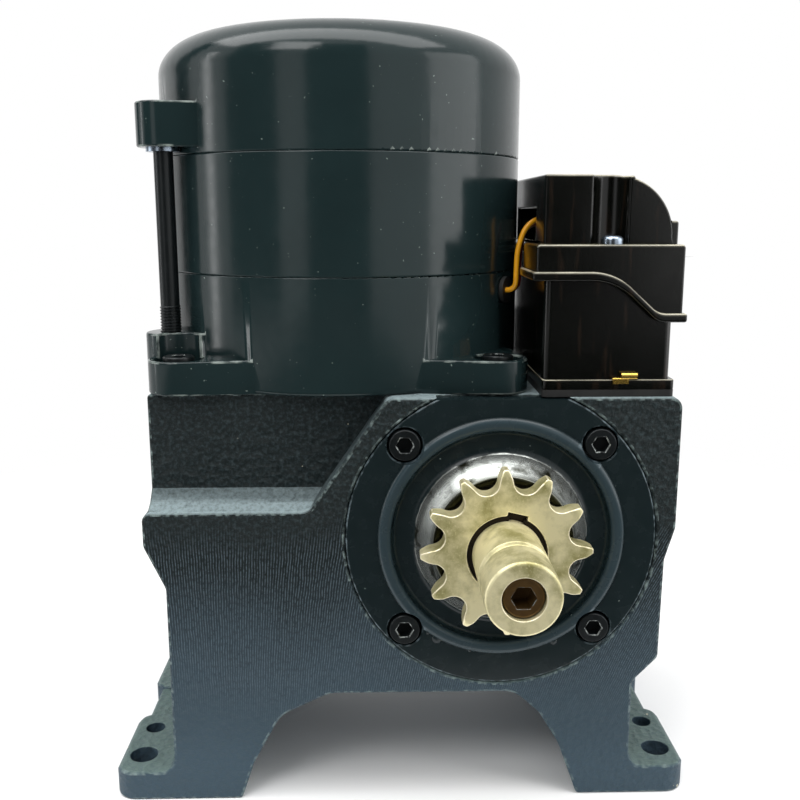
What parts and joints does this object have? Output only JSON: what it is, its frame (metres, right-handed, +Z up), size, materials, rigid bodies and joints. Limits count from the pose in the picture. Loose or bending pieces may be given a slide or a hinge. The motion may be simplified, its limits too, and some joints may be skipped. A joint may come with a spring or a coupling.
{
  "type": "sliding gate motor",
  "caption": "Sliding gate motor: upright induction motor and black control box on a cast-iron worm gearbox with feet, chain sprocket on a stub shaft.",
  "frame": {"origin": "centre of the four foundation bolt holes, on the plane that the feet stand on", "axes": "+Z up, output shaft points along -Y, control box towards +X"},
  "size_m": [0.25, 0.231, 0.3285],
  "materials": {
    "cast_paint": "satin machine enamel over rough casting",
    "cover_paint": "semi-gloss machine enamel over turned iron",
    "motor_paint": "gloss machine enamel",
    "black_oxide": "black oxide",
    "bearing_steel": "ground steel",
    "yellow_zinc": "yellow passivated zinc",
    "dark_spring": "phosphated spring steel",
    "plain_steel": "machined steel",
    "brown_screw": "browned high tensile steel",
    "bright_zinc": "bright zinc plate",
    "bronze": "machined bronze",
    "brass": "bright brass",
    "electrical_steel": "laminated sheet",
    "rotor_metal": "cast cage and laminated sheet",
    "copper": "varnished winding",
    "friction": "friction lining",
    "black_rubber": "matt",
    "box_plastic": "glossy moulding",
    "capacitor_can": "drawn can",
    "terminal_plastic": "moulded",
    "yellow_wire": "insulation",
    "red_wire": "insulation"
  },
  "bodies": {
    "gear_unit": {"gearbox_housing": "cast_paint", "output_cover": "cover_paint", "cover_screws": "black_oxide", "output_seal": "black_rubber", "front_bearing": "bearing_steel", "rear_bearing": "bearing_steel", "drain_plug": "black_oxide", "drain_plug_washer": "copper", "level_plug": "black_oxide", "level_plug_washer": "copper", "worm_bearing": "bearing_steel", "motor_bearing": "bearing_steel", "cap_bearing": "bearing_steel", "motor_seal": "black_rubber", "end_shield": "motor_paint", "end_shield_screws": "black_oxide", "end_shield_washers": "black_oxide", "stator_ring": "motor_paint", "stator_core": "electrical_steel", "windings": "copper", "top_cap": "motor_paint", "tie_rods": "black_oxide", "tie_rod_washers": "bright_zinc", "box_gasket": "black_rubber", "control_box_base": "box_plastic", "control_box_cover": "box_plastic", "box_screws": "bright_zinc", "cable_gland": "black_rubber", "run_capacitor": "capacitor_can", "terminal_block": "terminal_plastic", "terminal_bracket": "plain_steel", "earth_terminal": "brass", "lead_grommet": "black_rubber", "earth_wire": "yellow_wire", "motor_lead": "red_wire"},
    "worm_wheel_body": {"worm_wheel": "bronze"},
    "output_body": {"output_shaft": "yellow_zinc", "shaft_key": "dark_spring", "sprocket": "yellow_zinc", "sprocket_circlip": "dark_spring", "push_rod": "plain_steel", "clutch_cross_pin": "plain_steel", "clutch_thrust_collar": "plain_steel", "clutch_disc_springs": "dark_spring", "clutch_pressure_plate": "plain_steel", "clutch_linings": "friction"},
    "rotor_body": {"rotor_shaft": "plain_steel", "rotor_core": "rotor_metal"},
    "release_screw_body": {"release_screw": "brown_screw"}
  },
  "joints": [
    {"name": "rotor_spin", "type": "hinge", "parent": "gear_unit", "child": "rotor_body", "pos_m": [-0.026, 0.022, 0.2], "axis": [0, 0, 1], "continuous": true},
    {"name": "worm_wheel_turn", "type": "hinge", "parent": "gear_unit", "child": "worm_wheel_body", "pos_m": [0.041, 0.022, 0.1183], "axis": [0, 1, 0], "continuous": true},
    {"name": "clutch_slip", "type": "hinge", "parent": "worm_wheel_body", "child": "output_body", "pos_m": [0.041, 0.022, 0.1183], "axis": [0, 1, 0], "continuous": true},
    {"name": "release_screw_turn", "type": "hinge", "parent": "output_body", "child": "release_screw_body", "pos_m": [0.041, -0.12, 0.1183], "axis": [0, 1, 0], "range_deg": [-540, 0]}
  ],
  "couplings": [
    {"joint": "worm_wheel_turn", "follows": "rotor_spin", "ratio": -0.033333}
  ]
}
